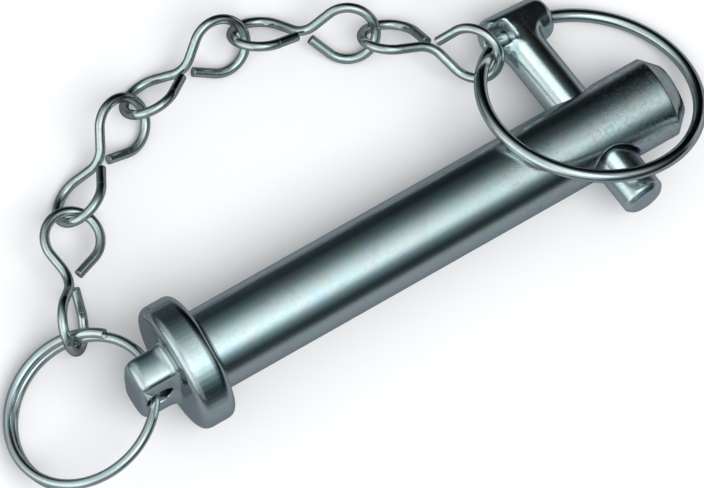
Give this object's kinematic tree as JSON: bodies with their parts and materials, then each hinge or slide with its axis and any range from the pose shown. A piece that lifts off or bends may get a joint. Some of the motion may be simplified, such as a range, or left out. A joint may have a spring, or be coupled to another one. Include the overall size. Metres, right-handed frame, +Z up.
{
  "type": "top link pin",
  "caption": "Collared steel pin with a cross hole, held by a loose linch pin whose hoop is tied to the pin by a short chain and a split ring.",
  "frame": {"origin": "centre of the collar's bearing face, on the shank's axis", "axes": "+X runs along the shank to its tip (drooping 2.6 degrees, as the pin lies on its collar and tip), +Z is up, +Y is the side the chain lies on"},
  "size_m": [0.1746, 0.0871, 0.0302],
  "materials": {
    "plated_steel": "bright zinc plate",
    "ring_wire": "bright zinc plate, darker",
    "chain_wire": "bright zinc plate"
  },
  "bodies": {
    "pin": {"main_pin": "plated_steel"},
    "split_ring": {"split_ring": "ring_wire"},
    "link_1": {"chain_link_1": "chain_wire"},
    "link_2": {"chain_link_2": "chain_wire"},
    "link_3": {"chain_link_3": "chain_wire"},
    "link_4": {"chain_link_4": "chain_wire"},
    "link_5": {"chain_link_5": "chain_wire"},
    "linch_pin": {"linch_pin": "plated_steel"},
    "linch_ring": {"linch_ring": "ring_wire"}
  },
  "joints": [
    {"name": "linch_pull", "type": "slide", "parent": "pin", "child": "linch_pin", "axis": [-0.0802, 0.994, -0.0747], "range_m": [0, 0.031]},
    {"name": "split_ring_turn", "type": "hinge", "parent": "pin", "child": "split_ring", "pos_m": [-0.02851, 0.00407, -0.00529], "axis": [-0.3237, 0.2717, 0.9063], "range_deg": [-50, 6]},
    {"name": "ring_flip", "type": "hinge", "parent": "linch_pin", "child": "linch_ring", "pos_m": [0.1002, 0.02952, -0.0083], "axis": [-0.9306, -0.0478, 0.363], "range_deg": [0, 123.7]},
    {"name": "link_1_swing", "type": "hinge", "parent": "pin", "child": "link_1", "pos_m": [-0.02199, 0.01889, -0.00785], "axis": [0.0452, 0.0785, 0.9959], "range_deg": [0, 12.22]},
    {"name": "link_2_swing", "type": "hinge", "parent": "link_1", "child": "link_2", "pos_m": [-0.0076, 0.0449, -0.00934], "axis": [0.0452, 0.0785, 0.9959], "range_deg": [0, 3.44]},
    {"name": "link_3_swing", "type": "hinge", "parent": "link_2", "child": "link_3", "pos_m": [0.01724, 0.05907, -0.00934], "axis": [0.0452, 0.0785, 0.9959], "range_deg": [-3.92, 0]},
    {"name": "link_4_swing", "type": "hinge", "parent": "link_3", "child": "link_4", "pos_m": [0.0457, 0.06196, -0.00934], "axis": [0.0452, 0.0785, 0.9959], "range_deg": [0, 2.91]},
    {"name": "link_5_swing", "type": "hinge", "parent": "link_4", "child": "link_5", "pos_m": [0.07121, 0.04675, -0.00934], "axis": [-0.8363, -0.0454, 0.5464], "range_deg": [0, 29.83]}
  ],
  "couplings": [
    {"joint": "ring_flip", "follows": "linch_pull", "rad_per_m": 69.609},
    {"joint": "link_1_swing", "follows": "linch_pull", "rad_per_m": 6.8765},
    {"joint": "link_2_swing", "follows": "linch_pull", "rad_per_m": 1.9358},
    {"joint": "link_3_swing", "follows": "linch_pull", "rad_per_m": -2.2059},
    {"joint": "link_4_swing", "follows": "linch_pull", "rad_per_m": 1.6375},
    {"joint": "link_5_swing", "follows": "linch_pull", "rad_per_m": 16.786}
  ]
}
